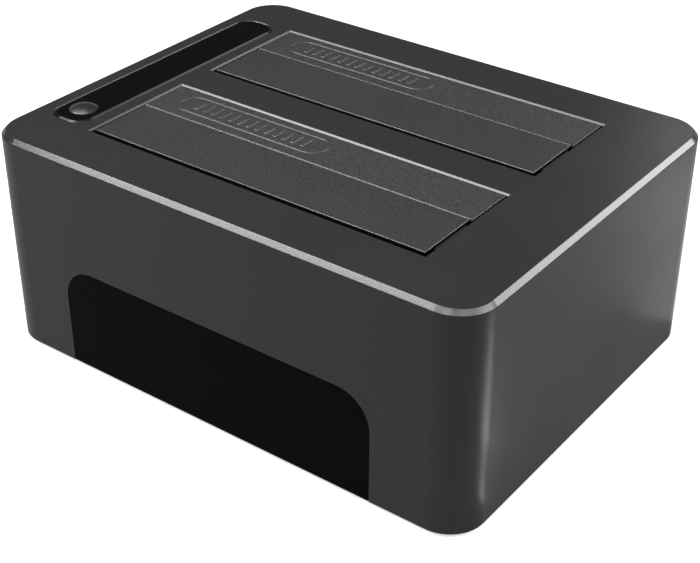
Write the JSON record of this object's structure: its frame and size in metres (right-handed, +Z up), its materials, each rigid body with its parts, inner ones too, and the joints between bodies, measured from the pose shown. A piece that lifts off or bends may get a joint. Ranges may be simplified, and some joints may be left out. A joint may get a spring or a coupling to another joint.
{
  "type": "hard drive docking station",
  "caption": "Dual-bay docking station: box housing with spring-loaded top flaps over drive bays, gloss indicator strip with push button, and rear power and data ports.",
  "frame": {"origin": "centre of the footprint, on the surface that the feet stand on", "axes": "+X along the wide front face towards its right end, +Y from front to rear, +Z up"},
  "size_m": [0.15, 0.116, 0.0645],
  "materials": {
    "housing": "satin moulded ABS",
    "door": "fine spark-textured ABS",
    "liner": "matte ABS",
    "gloss_panel": "polished black acrylic",
    "button": "satin black cap",
    "switch_plastic": "satin black nylon",
    "clear_guide": "clear light guide",
    "light": "clear lens",
    "circuit_board": "solder mask",
    "chip": "moulded epoxy",
    "can_metal": "drawn can",
    "coil_ferrite": "ferrite",
    "connector": "glass-filled nylon",
    "contact": "gold flash",
    "port_metal": "plated sheet",
    "header": "natural nylon",
    "ribbon": "flat film",
    "foot_rubber": "matte",
    "screw_steel": "black zinc",
    "rod_steel": "drawn wire"
  },
  "bodies": {
    "dock": {"base_plate": "housing", "board_screws": "screw_steel", "bridge_chip": "chip", "capacitors": "can_metal", "case_screws": "screw_steel", "clock_crystal": "can_metal", "clone_chip": "chip", "clone_switch_case": "switch_plastic", "firmware_memory": "chip", "front_bay_liner": "liner", "front_door_hinge_rod": "rod_steel", "front_door_spring": "rod_steel", "front_drive_connector": "connector", "front_drive_contacts": "contact", "front_panel": "gloss_panel", "indicator_board": "circuit_board", "indicator_board_screws": "screw_steel", "indicator_header": "header", "indicator_lights": "light", "indicator_panel": "gloss_panel", "indicator_ribbon": "ribbon", "light_guide": "clear_guide", "liner_screws": "screw_steel", "main_board": "circuit_board", "main_board_header": "header", "power_coils": "coil_ferrite", "power_jack_body": "connector", "power_jack_pin": "contact", "power_switch_case": "switch_plastic", "power_switch_terminals": "contact", "rear_bay_liner": "liner", "rear_door_hinge_rod": "rod_steel", "rear_door_spring": "rod_steel", "rear_drive_connector": "connector", "rear_drive_contacts": "contact", "rubber_feet": "foot_rubber", "upper_housing": "housing", "usb_port_contacts": "contact", "usb_port_insert": "connector", "usb_port_shell": "port_metal", "voltage_regulators": "chip"},
    "front_door": {"front_bay_door": "door"},
    "rear_door": {"rear_bay_door": "door"},
    "clone_button": {"clone_button": "button", "clone_switch_plunger": "switch_plastic"},
    "power_rocker": {"power_rocker": "switch_plastic"}
  },
  "joints": [
    {"name": "front_door_hinge", "type": "hinge", "parent": "dock", "child": "front_door", "pos_m": [0, -0.0085, 0.0587], "axis": [1, 0, 0], "range_deg": [0, 86], "stiffness_Nm_per_rad": 0.006, "springref_deg": -34.38, "deforming": ["front_door_spring"]},
    {"name": "rear_door_hinge", "type": "hinge", "parent": "dock", "child": "rear_door", "pos_m": [0, 0.0393, 0.0587], "axis": [1, 0, 0], "range_deg": [0, 86], "stiffness_Nm_per_rad": 0.006, "springref_deg": -34.38, "deforming": ["rear_door_spring"]},
    {"name": "clone_button_press", "type": "slide", "parent": "dock", "child": "clone_button", "axis": [0, 0, -1], "range_m": [0, 0.0006], "stiffness_N_per_m": 300, "springref_m": -0.0003},
    {"name": "power_rocker_tilt", "type": "hinge", "parent": "dock", "child": "power_rocker", "pos_m": [0.026, 0.0535, 0.0142], "axis": [0, 0, 1], "range_deg": [0, 16]}
  ]
}
